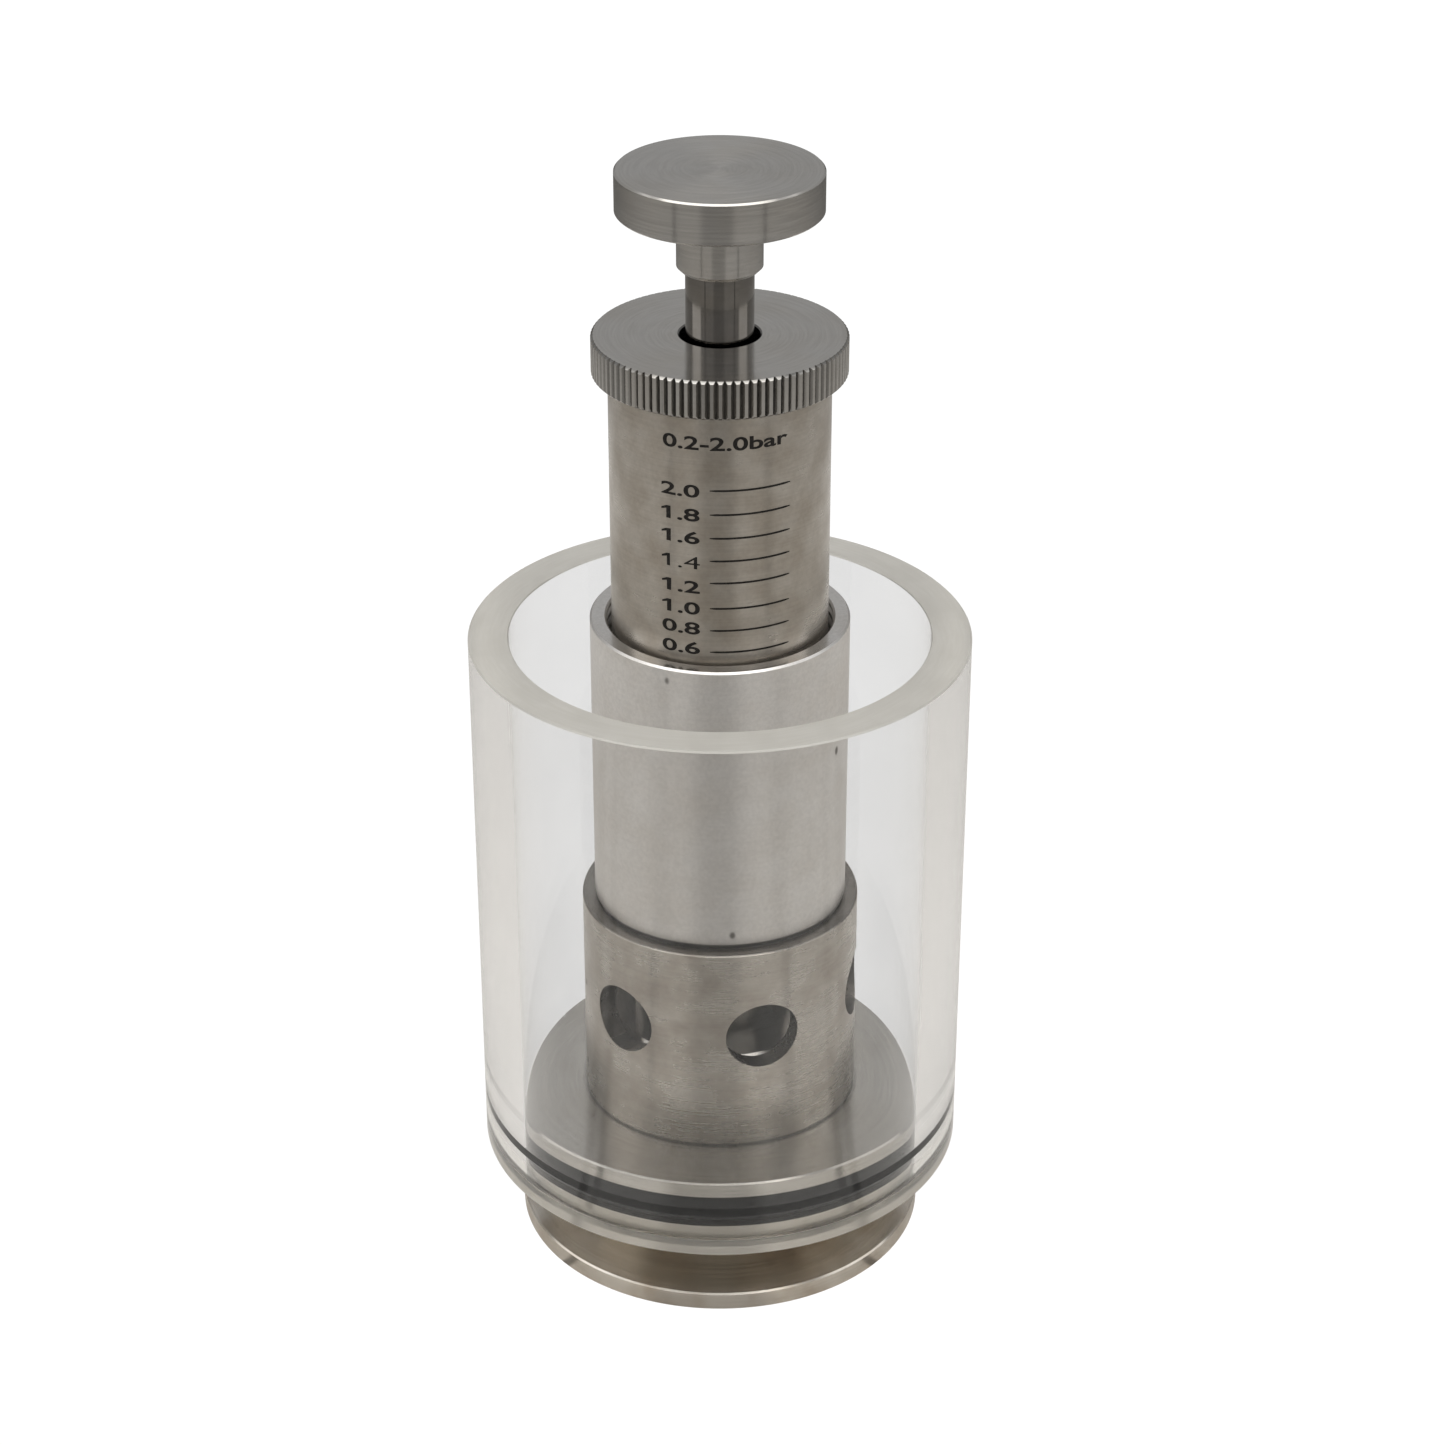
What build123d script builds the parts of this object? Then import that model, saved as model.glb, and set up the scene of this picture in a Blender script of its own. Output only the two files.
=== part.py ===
from build123d import *
import math
import os

# Adjustable pressure relief (bunging) valve with a water cup, for a clamp ferrule.
# Millimetres. +Z is up, and the origin is the centre of the ferrule's gasket face.
# One vent hole faces -Y. Every piece is drawn closed and at rest: valve seated, cup down,
# adjuster about half a bar up its scale.

# ---- driving dimensions ------------------------------------------------------------------

# Clamp ferrule, DN50 / two inch pattern
ferrule_r = 32.0
ferrule_rim_h = 2.85
ferrule_edge_bevel = 0.25
ferrule_cone_angle = 20.0
tube_bore_r = 23.75
tube_wall = 1.65
ferrule_h = 12.9
gasket_groove_r = 28.25
gasket_groove_section_r = 1.6

# Base flange: the cup's ledge, the seal groove and the valve seat
ledge_r = 34.0
ledge_top_z = 14.65
flange_r = 31.4
flange_top_z = 25.1
flange_chamfer = 0.25
seal_groove_low_z = 17.3
seal_groove_high_z = 22.65
seal_section_r = 2.65
seal_root_gap = 0.1
orifice_r = 12.5
throat_top_z = 23.1
nozzle_r = 15.2
nozzle_shoulder_z = 29.9
seat_lip_r = 13.6
seat_z = 31.4
cage_register_r = 18.35
cage_register_h = 1.5

# Water cup
cup_r = 37.7
cup_bore_r = 31.65
cup_low_z = 14.67
cup_top_z = 102.05
cup_top_chamfer = 0.25
cup_low_chamfer = 0.2

# Vent cage
cage_r = 21.4
cage_bore_r = 18.4
cage_top_z = 59.5
cage_top_chamfer = 0.2
vent_count = 6
vent_r = 5.5
vent_z = 44.75
cage_gasket_z = 50.9
cage_thread_r = 19.02

# Bonnet
bonnet_r = 19.45
bonnet_low_z = 51.7
bonnet_top_z = 105.0
bonnet_spigot_r = 19.0
bonnet_neck_r = 18.5
bonnet_neck_low_z = 57.8
bonnet_shoulder_z = 60.1
bonnet_web_top_z = 58.5
bush_seat_r = 15.5
bonnet_gasket_bore_r = 17.0

# Adjusting thread between sleeve and bonnet: metric 36 x 2, drawn as rings.
# Its crests leave a running clearance, and its pitch sets the travel of one turn.
thread_pitch = 2.0
bonnet_thread_crest_r = 16.95
bonnet_thread_root_r = 17.8
bonnet_thread_low_z = 60.0
bonnet_thread_lead_in = 1.0
sleeve_thread_crest_r = 16.87
sleeve_thread_h = 12.0
thread_crest_w = 0.5
thread_root_gap = 0.05

# Adjuster: scale sleeve and knurled cap
sleeve_r = 16.2
sleeve_bore_r = 14.5
sleeve_low_z = 86.0
sleeve_top_z = 144.0
cap_r = 18.55
cap_top_z = 149.75
cap_hole_r = 5.875
cap_top_chamfer = 0.35
cap_low_chamfer = 0.3
cap_spigot_low_z = 124.0
cap_spigot_r = 14.48
knurl_teeth = 96
knurl_depth = 0.5
knurl_half_w = 0.46
knurl_overrun = 0.1
stem_bush_r = 7.5
stem_bush_bore_r = 5.02
stem_bush_h = 10.0

# Plunger: plug, seat disc, stem and lifting knob
plug_r = 13.5
plug_flange_r = 17.0
plug_low_z = 33.4
plug_flange_top_z = 38.5
plug_top_z = 62.0
plug_floor_z = 59.0
plug_counterbore_r = 12.5
guide_bore_r = 13.56
seat_disc_r = 15.5
seat_disc_h = 3.0
seat_pocket_h = 1.0
retainer_r = 10.5
retainer_h = 2.0
screw_r = 3.0
screw_head_r = 5.0
screw_head_h = 3.2
screw_tip_z = 42.4
screw_socket_flats = 4.0
screw_socket_depth = 1.8
stem_r = 4.95
stem_end_r = 4.0
stem_low_z = 45.0
nut_h = 5.0
nut_flats = 13.0
knob_r = 14.9
knob_low_z = 168.1
knob_top_z = 174.2
knob_edge_chamfer = 0.25
boss_r = 6.2
boss_low_z = 159.5
boss_chamfer = 0.6
knob_socket_depth = 9.3
knob_socket_gap = 0.3

# Spring and its seats
spring_mean_r = 11.0
spring_wire_r = 1.0
spring_low_z = 60.0
spring_high_z = 119.5
spring_turns = 5
spring_washer_r = 12.3
spring_washer_bore_r = 8.0
spring_seat_r = 14.1
spring_seat_top_z = 122.45
spring_seat_hub_r = 9.6
spring_seat_hub_h = 5.5
thrust_washer_r = 12.0
follower_bore_r = 5.6
follower_hub_bevel = 1.0

# Small features that many pieces share
running_gap = 0.05
fine_bevel = 0.2
edge_bevel = 0.3
end_bevel = 0.5
cut_overrun = 1.0


def outline(points):
    """A closed outline in the XZ plane, given as (radius, height) points."""
    with BuildSketch(Plane.XZ) as sketch:
        with BuildLine():
            Polyline(*points, close=True)
        make_face()
    return sketch.sketch


def ring(inner_r, outer_r, low_z, high_z, bevel=0.1):
    """The outline of a plain ring, with its outer edges slightly bevelled."""
    return outline([
        (inner_r, low_z),
        (outer_r - bevel, low_z),
        (outer_r, low_z + bevel),
        (outer_r, high_z - bevel),
        (outer_r - bevel, high_z),
        (inner_r, high_z),
    ])


def thread_points(low_z, high_z, root_r, crest_r):
    """Points going up one side of a thread drawn as rings, starting and ending on the root."""
    count = int(round((high_z - low_z) / thread_pitch))
    flank_h = (thread_pitch - thread_crest_w) / 2
    points = []
    for turn in range(count):
        start_z = low_z + turn * thread_pitch
        points.append((root_r, start_z + thread_root_gap))
        points.append((crest_r, start_z + flank_h))
        points.append((crest_r, start_z + flank_h + thread_crest_w))
        points.append((root_r, start_z + thread_pitch - thread_root_gap))
    return points


os.makedirs("parts", exist_ok=True)

# ---- fixed pieces: ferrule, base flange, seal, cage, bonnet ------------------------------

neck_r = tube_bore_r + tube_wall
cone_top_z = ferrule_rim_h + (ferrule_r - neck_r) * math.tan(math.radians(ferrule_cone_angle))

with BuildPart() as ferrule:
    revolve(outline([
        (tube_bore_r, 0),
        (ferrule_r, 0),
        (ferrule_r, ferrule_rim_h - ferrule_edge_bevel),
        (ferrule_r - ferrule_edge_bevel, ferrule_rim_h),
        (neck_r, cone_top_z),
        (neck_r, ferrule_h),
        (tube_bore_r, ferrule_h),
    ]), axis=Axis.Z)
    with BuildSketch(Plane.XZ) as groove_section:
        with Locations((gasket_groove_r, 0)):
            Circle(gasket_groove_section_r)
    revolve(axis=Axis.Z, mode=Mode.SUBTRACT)
ferrule.part.label = "ferrule"
export_step(ferrule.part, "parts/ferrule.step")

seal_groove_root_r = cup_bore_r - 2 * seal_section_r - seal_root_gap
register_top_z = flange_top_z + cage_register_h

with BuildPart() as base_flange:
    revolve(outline([
        (tube_bore_r, ferrule_h),
        (ledge_r, ferrule_h),
        (ledge_r, ledge_top_z),
        (flange_r, ledge_top_z),
        (flange_r, seal_groove_low_z),
        (seal_groove_root_r, seal_groove_low_z),
        (seal_groove_root_r, seal_groove_high_z),
        (flange_r, seal_groove_high_z),
        (flange_r, flange_top_z - flange_chamfer),
        (flange_r - flange_chamfer, flange_top_z),
        (cage_register_r, flange_top_z),
        (cage_register_r, register_top_z),
        (nozzle_r, register_top_z),
        (nozzle_r, nozzle_shoulder_z),
        (seat_lip_r, seat_z),
        (orifice_r, seat_z),
        (orifice_r, throat_top_z),
    ]), axis=Axis.Z)
base_flange.part.label = "base_flange"
export_step(base_flange.part, "parts/base_flange.step")

seal_centre_r = cup_bore_r - running_gap - seal_section_r

with BuildPart() as cup_seal:
    with BuildSketch(Plane.XZ) as seal_profile:
        with Locations((seal_centre_r, (seal_groove_low_z + seal_groove_high_z) / 2)):
            Circle(seal_section_r)
    revolve(axis=Axis.Z)
cup_seal.part.label = "cup_seal"
export_step(cup_seal.part, "parts/cup_seal.step")

with BuildPart() as vent_cage:
    revolve(outline([
        (cage_bore_r, flange_top_z),
        (cage_r, flange_top_z),
        (cage_r, cage_top_z - cage_top_chamfer),
        (cage_r - cage_top_chamfer, cage_top_z),
        (cage_thread_r + fine_bevel, cage_top_z),
        (cage_thread_r, cage_top_z - fine_bevel),
        (cage_thread_r, cage_gasket_z),
        (cage_bore_r, cage_gasket_z),
    ]), axis=Axis.Z)
    for vent in range(vent_count // 2):
        vent_plane = Plane.XZ.rotated((0, 0, vent * 360 / vent_count))
        with BuildSketch(vent_plane) as vent_pair:
            with Locations((0, vent_z)):
                Circle(vent_r)
        extrude(amount=cage_r + cut_overrun, both=True, mode=Mode.SUBTRACT)
vent_cage.part.label = "vent_cage"
export_step(vent_cage.part, "parts/vent_cage.step")

with BuildPart() as bonnet_gasket:
    revolve(ring(bonnet_gasket_bore_r, bonnet_spigot_r, cage_gasket_z, bonnet_low_z), axis=Axis.Z)
bonnet_gasket.part.label = "bonnet_gasket"
export_step(bonnet_gasket.part, "parts/bonnet_gasket.step")

bonnet_thread_high_z = bonnet_top_z - bonnet_thread_lead_in
bonnet_thread = thread_points(
    bonnet_thread_low_z, bonnet_thread_high_z, bonnet_thread_root_r, bonnet_thread_crest_r)

with BuildPart() as bonnet:
    revolve(outline([
        (bush_seat_r, bonnet_low_z),
        (bonnet_spigot_r - edge_bevel, bonnet_low_z),
        (bonnet_spigot_r, bonnet_low_z + edge_bevel),
        (bonnet_spigot_r, bonnet_neck_low_z),
        (bonnet_neck_r, bonnet_neck_low_z),
        (bonnet_neck_r, bonnet_shoulder_z),
        (bonnet_r - fine_bevel, bonnet_shoulder_z),
        (bonnet_r, bonnet_shoulder_z + fine_bevel),
        (bonnet_r, bonnet_top_z - edge_bevel),
        (bonnet_r - edge_bevel, bonnet_top_z),
        (bonnet_thread_crest_r + edge_bevel, bonnet_top_z),
        (bonnet_thread_crest_r, bonnet_top_z - edge_bevel),
        (bonnet_thread_crest_r, bonnet_thread_high_z + edge_bevel),
    ] + bonnet_thread[::-1] + [
        (bonnet_thread_root_r, bonnet_web_top_z),
        (bush_seat_r, bonnet_web_top_z),
    ]), axis=Axis.Z)
bonnet.part.label = "bonnet"
export_step(bonnet.part, "parts/bonnet.step")

with BuildPart() as guide_bush:
    revolve(outline([
        (guide_bore_r, bonnet_low_z + edge_bevel),
        (guide_bore_r + edge_bevel, bonnet_low_z),
        (bush_seat_r, bonnet_low_z),
        (bush_seat_r, bonnet_web_top_z - fine_bevel),
        (guide_bore_r + edge_bevel, bonnet_web_top_z - fine_bevel),
        (guide_bore_r, bonnet_web_top_z - fine_bevel - edge_bevel),
    ]), axis=Axis.Z)
guide_bush.part.label = "guide_bush"
export_step(guide_bush.part, "parts/guide_bush.step")

# ---- water cup ---------------------------------------------------------------------------

with BuildPart() as cup:
    revolve(outline([
        (cup_bore_r + cup_low_chamfer, cup_low_z),
        (cup_r - cup_low_chamfer, cup_low_z),
        (cup_r, cup_low_z + cup_low_chamfer),
        (cup_r, cup_top_z - cup_top_chamfer),
        (cup_r - cup_top_chamfer, cup_top_z),
        (cup_bore_r, cup_top_z),
        (cup_bore_r, cup_low_z + cup_low_chamfer),
    ]), axis=Axis.Z)
cup.part.label = "cup"
export_step(cup.part, "parts/cup.step")

# ---- plunger: plug, seat disc, retainer, screw, nut, stem, knob --------------------------

with BuildPart() as plug:
    revolve(outline([
        (0, plug_low_z + seat_pocket_h),
        (seat_disc_r, plug_low_z + seat_pocket_h),
        (seat_disc_r, plug_low_z),
        (plug_flange_r - edge_bevel, plug_low_z),
        (plug_flange_r, plug_low_z + edge_bevel),
        (plug_flange_r, plug_flange_top_z - end_bevel),
        (plug_flange_r - end_bevel, plug_flange_top_z),
        (plug_r, plug_flange_top_z),
        (plug_r, plug_top_z - edge_bevel),
        (plug_r - edge_bevel, plug_top_z),
        (plug_counterbore_r, plug_top_z),
        (plug_counterbore_r, plug_floor_z),
        (0, plug_floor_z),
    ]), axis=Axis.Z)
    with BuildSketch(Plane.XY.offset(plug_low_z)) as screw_hole:
        Circle(screw_r)
    extrude(amount=screw_tip_z - plug_low_z, mode=Mode.SUBTRACT)
    with BuildSketch(Plane.XY.offset(stem_low_z)) as stem_hole:
        Circle(stem_end_r)
    extrude(amount=plug_top_z - stem_low_z, mode=Mode.SUBTRACT)
plug.part.label = "plug"
export_step(plug.part, "parts/plug.step")

with BuildPart() as seat_disc:
    revolve(ring(screw_r, seat_disc_r, seat_z, seat_z + seat_disc_h), axis=Axis.Z)
seat_disc.part.label = "seat_disc"
export_step(seat_disc.part, "parts/seat_disc.step")

with BuildPart() as seat_retainer:
    revolve(ring(screw_r, retainer_r, seat_z - retainer_h, seat_z, edge_bevel), axis=Axis.Z)
seat_retainer.part.label = "seat_retainer"
export_step(seat_retainer.part, "parts/seat_retainer.step")

screw_seat_z = seat_z - retainer_h
screw_head_z = screw_seat_z - screw_head_h

with BuildPart() as retainer_screw:
    revolve(outline([
        (0, screw_head_z),
        (screw_head_r - end_bevel, screw_head_z),
        (screw_head_r, screw_head_z + end_bevel),
        (screw_head_r, screw_seat_z),
        (screw_r, screw_seat_z),
        (screw_r, screw_tip_z - end_bevel),
        (screw_r - end_bevel, screw_tip_z),
        (0, screw_tip_z),
    ]), axis=Axis.Z)
    with BuildSketch(Plane.XY.offset(screw_head_z)) as screw_socket:
        RegularPolygon(screw_socket_flats / 2, 6, major_radius=False)
    extrude(amount=screw_socket_depth, mode=Mode.SUBTRACT)
retainer_screw.part.label = "retainer_screw"
export_step(retainer_screw.part, "parts/retainer_screw.step")

nut_top_z = plug_floor_z + nut_h

with BuildPart() as stem_nut:
    with BuildSketch(Plane.XY.offset(plug_floor_z)) as nut_outline:
        RegularPolygon(nut_flats / 2, 6, major_radius=False)
        Circle(stem_end_r, mode=Mode.SUBTRACT)
    extrude(amount=nut_h)
stem_nut.part.label = "stem_nut"
export_step(stem_nut.part, "parts/stem_nut.step")

stem_high_z = boss_low_z + knob_socket_depth - knob_socket_gap

with BuildPart() as stem:
    revolve(outline([
        (0, stem_low_z),
        (stem_end_r - end_bevel, stem_low_z),
        (stem_end_r, stem_low_z + end_bevel),
        (stem_end_r, nut_top_z),
        (stem_r, nut_top_z),
        (stem_r, boss_low_z),
        (stem_end_r, boss_low_z),
        (stem_end_r, stem_high_z - end_bevel),
        (stem_end_r - end_bevel, stem_high_z),
        (0, stem_high_z),
    ]), axis=Axis.Z)
stem.part.label = "stem"
export_step(stem.part, "parts/stem.step")

with BuildPart() as knob:
    revolve(outline([
        (stem_end_r, boss_low_z),
        (boss_r - boss_chamfer, boss_low_z),
        (boss_r, boss_low_z + boss_chamfer),
        (boss_r, knob_low_z),
        (knob_r - knob_edge_chamfer, knob_low_z),
        (knob_r, knob_low_z + knob_edge_chamfer),
        (knob_r, knob_top_z - knob_edge_chamfer),
        (knob_r - knob_edge_chamfer, knob_top_z),
        (0, knob_top_z),
        (0, boss_low_z + knob_socket_depth),
        (stem_end_r, boss_low_z + knob_socket_depth),
    ]), axis=Axis.Z)
knob.part.label = "knob"
export_step(knob.part, "parts/knob.step")

# ---- spring and its seats ----------------------------------------------------------------

with BuildPart() as spring_washer:
    revolve(ring(spring_washer_bore_r, spring_washer_r, plug_floor_z, spring_low_z), axis=Axis.Z)
spring_washer.part.label = "spring_washer"
export_step(spring_washer.part, "parts/spring_washer.step")

coil_low_z = spring_low_z + spring_wire_r
coil_high_z = spring_high_z - spring_wire_r
coil_h = coil_high_z - coil_low_z

with BuildPart() as spring:
    with BuildLine(Plane.XY.offset(coil_low_z)) as coil_path:
        Helix(pitch=coil_h / spring_turns, height=coil_h, radius=spring_mean_r)
    with BuildSketch(Plane(coil_path.line @ 0, z_dir=coil_path.line % 0)) as wire_section:
        Circle(spring_wire_r)
    sweep(is_frenet=True)
    for end_z in (coil_low_z, coil_high_z):
        with BuildSketch(Plane.XZ) as end_coil:
            with Locations((spring_mean_r, end_z)):
                Circle(spring_wire_r)
        revolve(axis=Axis.Z)
spring.part.label = "spring"
export_step(spring.part, "parts/spring.step")

with BuildPart() as spring_seat:
    revolve(outline([
        (follower_bore_r, spring_high_z - spring_seat_hub_h),
        (spring_seat_hub_r - follower_hub_bevel, spring_high_z - spring_seat_hub_h),
        (spring_seat_hub_r, spring_high_z - spring_seat_hub_h + follower_hub_bevel),
        (spring_seat_hub_r, spring_high_z),
        (spring_seat_r, spring_high_z),
        (spring_seat_r, spring_seat_top_z),
        (follower_bore_r, spring_seat_top_z),
    ]), axis=Axis.Z)
spring_seat.part.label = "spring_seat"
export_step(spring_seat.part, "parts/spring_seat.step")

with BuildPart() as thrust_washer:
    thrust_top_z = cap_spigot_low_z - running_gap
    revolve(ring(follower_bore_r, thrust_washer_r, spring_seat_top_z, thrust_top_z), axis=Axis.Z)
thrust_washer.part.label = "thrust_washer"
export_step(thrust_washer.part, "parts/thrust_washer.step")

# ---- adjuster: scale sleeve, knurled cap, stem bush --------------------------------------

sleeve_thread_top_z = sleeve_low_z + sleeve_thread_h
sleeve_thread = thread_points(sleeve_low_z, sleeve_thread_top_z, sleeve_r, sleeve_thread_crest_r)

with BuildPart() as scale_sleeve:
    revolve(outline([
        (sleeve_bore_r, sleeve_low_z),
    ] + sleeve_thread + [
        (sleeve_r, sleeve_top_z),
        (sleeve_bore_r, sleeve_top_z),
    ]), axis=Axis.Z)
scale_sleeve.part.label = "scale_sleeve"
export_step(scale_sleeve.part, "parts/scale_sleeve.step")

with BuildPart() as adjuster_cap:
    revolve(outline([
        (stem_bush_r, cap_spigot_low_z),
        (cap_spigot_r - end_bevel, cap_spigot_low_z),
        (cap_spigot_r, cap_spigot_low_z + end_bevel),
        (cap_spigot_r, sleeve_top_z),
        (cap_r - cap_low_chamfer, sleeve_top_z),
        (cap_r, sleeve_top_z + cap_low_chamfer),
        (cap_r, cap_top_z - cap_top_chamfer),
        (cap_r - cap_top_chamfer, cap_top_z),
        (cap_hole_r + fine_bevel, cap_top_z),
        (cap_hole_r, cap_top_z - fine_bevel),
        (cap_hole_r, cap_spigot_low_z + stem_bush_h),
        (stem_bush_r, cap_spigot_low_z + stem_bush_h),
    ]), axis=Axis.Z)
    with BuildSketch(Plane.XY.offset(sleeve_top_z)) as knurl_notches:
        with PolarLocations(cap_r, knurl_teeth):
            Polygon((-knurl_depth, 0), (knurl_overrun, -knurl_half_w), (knurl_overrun, knurl_half_w),
                    align=None)
    extrude(amount=cap_top_z - sleeve_top_z, mode=Mode.SUBTRACT)
adjuster_cap.part.label = "adjuster_cap"
export_step(adjuster_cap.part, "parts/adjuster_cap.step")

with BuildPart() as stem_bush:
    revolve(ring(stem_bush_bore_r, stem_bush_r, cap_spigot_low_z, cap_spigot_low_z + stem_bush_h),
            axis=Axis.Z)
stem_bush.part.label = "stem_bush"
export_step(stem_bush.part, "parts/stem_bush.step")
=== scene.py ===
import math

import bmesh
import bpy
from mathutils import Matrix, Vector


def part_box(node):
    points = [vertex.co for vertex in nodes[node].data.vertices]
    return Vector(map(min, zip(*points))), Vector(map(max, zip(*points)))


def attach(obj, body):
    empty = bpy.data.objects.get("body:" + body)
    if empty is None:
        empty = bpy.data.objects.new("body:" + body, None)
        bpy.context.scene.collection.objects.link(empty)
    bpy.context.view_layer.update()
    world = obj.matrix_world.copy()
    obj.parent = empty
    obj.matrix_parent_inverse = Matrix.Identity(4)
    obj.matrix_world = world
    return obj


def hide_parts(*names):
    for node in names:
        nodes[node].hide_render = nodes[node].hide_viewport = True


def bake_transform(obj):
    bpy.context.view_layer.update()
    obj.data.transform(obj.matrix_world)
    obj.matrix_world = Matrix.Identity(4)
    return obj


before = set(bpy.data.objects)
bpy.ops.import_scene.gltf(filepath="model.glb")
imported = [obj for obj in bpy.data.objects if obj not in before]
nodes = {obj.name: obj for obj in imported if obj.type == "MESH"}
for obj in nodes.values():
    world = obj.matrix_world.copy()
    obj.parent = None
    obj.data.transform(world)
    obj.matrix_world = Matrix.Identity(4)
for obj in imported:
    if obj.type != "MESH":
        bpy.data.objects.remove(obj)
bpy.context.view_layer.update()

# Looks of an adjustable relief valve: turned and drawn stainless steel, a clear acrylic cup with
# sawn ends, a black rubber seal and a black scale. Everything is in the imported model's own frame,
# +Z up, with one vent hole facing -Y. Lengths are in metres unless a name says mm. The camera
# stands at VIEW_AZIMUTH, a little to the left of that hole.

MM = 0.001
VIEW_AZIMUTH = math.radians(-17.2)

# Camera
CAMERA_DISTANCE = 447.1 * MM
CAMERA_HEIGHT = 327.7 * MM
CAMERA_SIDESTEP = 0.38 * MM
CAMERA_PITCH = math.radians(28.35)
LENS_MM = 83.34
SENSOR_MM = 36.0
CLIP_NEAR, CLIP_FAR = 0.01, 50

# Round pieces
LATHE_SEGMENTS = 256
WIRE_SIDES = 20

# Cup and seal
CUP_BORE = 31.65 * MM
CUP_WALL_ROWS = 24
TOP_BEVEL = 0.25 * MM
TOP_BORE_BEVEL = 0.15 * MM
FOOT_BEVEL = 0.2 * MM
CUP_SHARP_DEGREES = 20
SEAL_LAND = 31.665 * MM
SEAL_BULGE = 1.075
SEAL_SIDES = 48

# Spring: cut into two lengths of coil at the joint height
WIRE_RADIUS = 1.0 * MM
ACTIVE_TURNS = 5.0
CLOSED_TURNS = 1.0
CLOSED_RISE = 2.05 * WIRE_RADIUS
END_EASE = 0.12
POINTS_PER_TURN = 48
WIRE_SHARP_DEGREES = 50
SPRING_JOINT_HEIGHT = 72 * MM

# Scale at rest: heights in mm of each line's middle and of its number's middle, and angles in
# degrees round the sleeve from -Y towards +X. A line starts at LINE_END_WIDTH of its thickness and
# would gain LINE_END_GROWTH of it over its whole length, but stops when it is full.
SCALE_HEIGHTS = {
    "2.0": (132.28, 132.05), "1.8": (128.55, 128.33), "1.6": (124.87, 124.79),
    "1.4": (121.3, 120.85), "1.2": (117.8, 116.97), "1.0": (113.75, 113.58),
    "0.8": (110.2, 110.37), "0.6": (106.73, 107.2), "0.4": (102.6, 101.2),
    "0.2": (98.9, 98.2),
}
LINE_ANGLES = (-22.3, 20.9)
LINE_THICKNESS = 0.31 * MM
LINE_STEPS = 40
LINE_END_WIDTH = 0.45
LINE_END_GROWTH = 8
NUMBER_ANGLES = (-48.1, -27.4)
NUMBER_HEIGHT = 1.98 * MM
RANGE_TEXT = "0.2-2.0bar"
RANGE_ANGLES = (-46.9, 18.8)
RANGE_HEIGHT_Z = 139.45 * MM
RANGE_SIZE = 2.08 * MM
SLEEVE_RADIUS = 16.2 * MM
MARK_PROUD = 0.012 * MM
MARK_FACET = 0.25 * MM

# Letters, in parts of the typeface's size: thicker strokes, and the 1's flag as (across, down)
# from the top left corner of its bar
STROKE_GAIN = 0.021
ONE_BAR_REACH = 0.05
ONE_FLAG = ((0.0, 0.0), (-0.165, 0.14), (-0.165, 0.245), (0.0, 0.17))

# Ink of the scale
INK_BLACK = (0.008, 0.007, 0.006, 1)
INK_WORN = (0.020, 0.018, 0.016, 1)
INK_FLECKS_PER_M = 2500
INK_DEPTH = 0.004 * MM

# Steel: tones are shares of the clean brightness
FLECKS_PER_M = 1600
BROAD_PATCH = 4.5
PATCH_WEIGHT, BROAD_WEIGHT = 0.55, 0.45
STAIN_FROM, STAIN_TO = 0.38, 0.66
STAIN_ROUGHER = 0.06
LINE_SMOOTHER, LINE_ROUGHER = 0.01, 0.02
LEVEL_FROM, LEVEL_TO = 0.85, 0.95
# Painted shade inside a bore: its tone, and the depths in mm inside the radius where it is full and
# ends
INSIDE_SHADE_TONE = 0.55
INSIDE_EDGE_MM = (0.15, 0.02)
# Painted shade at a part's foot and in a knurl's roots: its tone, and where above the foot it is
# full and ends
PAINTED_SHADE_TONE = 0.35
FOOT_SHADE_MM = (0.2, 0.55)
# Painted shade round the foot of a part that stands on this one: half as deep, over this width in
# mm
COLLAR_SHADE_TONE = (1.0 + PAINTED_SHADE_TONE) / 2
COLLAR_SHADE_MM = 0.9
PIT_CELLS_PER_M = 230
PIT_CELL_STRETCH = (1, 1, 0.7)
PIT_SIZE = 0.15
PIT_FLOOR = 0.45
PIT_COLOR = (0.10, 0.08, 0.065, 1)
PIT_COVER = 0.7
PIT_ROUGHER = 0.3
PIT_DEPTH = 0.04 * MM

PLASTIC_FLECK_TONE = 0.88

# Acrylic. The sawn foot's rough skin hardly bends light, so the paper under it shows through.
ACRYLIC_IOR = 1.49
ACRYLIC_CLEAR = (0.955, 0.955, 0.955, 1)
ACRYLIC_SMEARED = (0.93, 0.93, 0.93, 1)
SCRATCHES_PER_M = (420, 420, 26)
SCRATCH_FROM, SCRATCH_FLOOR, SCRATCH_TO = 0.62, 0.74, 0.82
SCRATCH_DEPTH = 0.008 * MM
SMEARS_PER_M = 60
SAWN_MARKS_PER_MM = 2.2
SAWN_MARK_DRIFT = 2.0
SAWN_BLOTCHES_PER_M = 180
SAWN_BLOTCH_TONE = 0.93
SAWN_DEPTH = 0.008 * MM
SAWN_FOOT_IOR = 1.02

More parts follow.
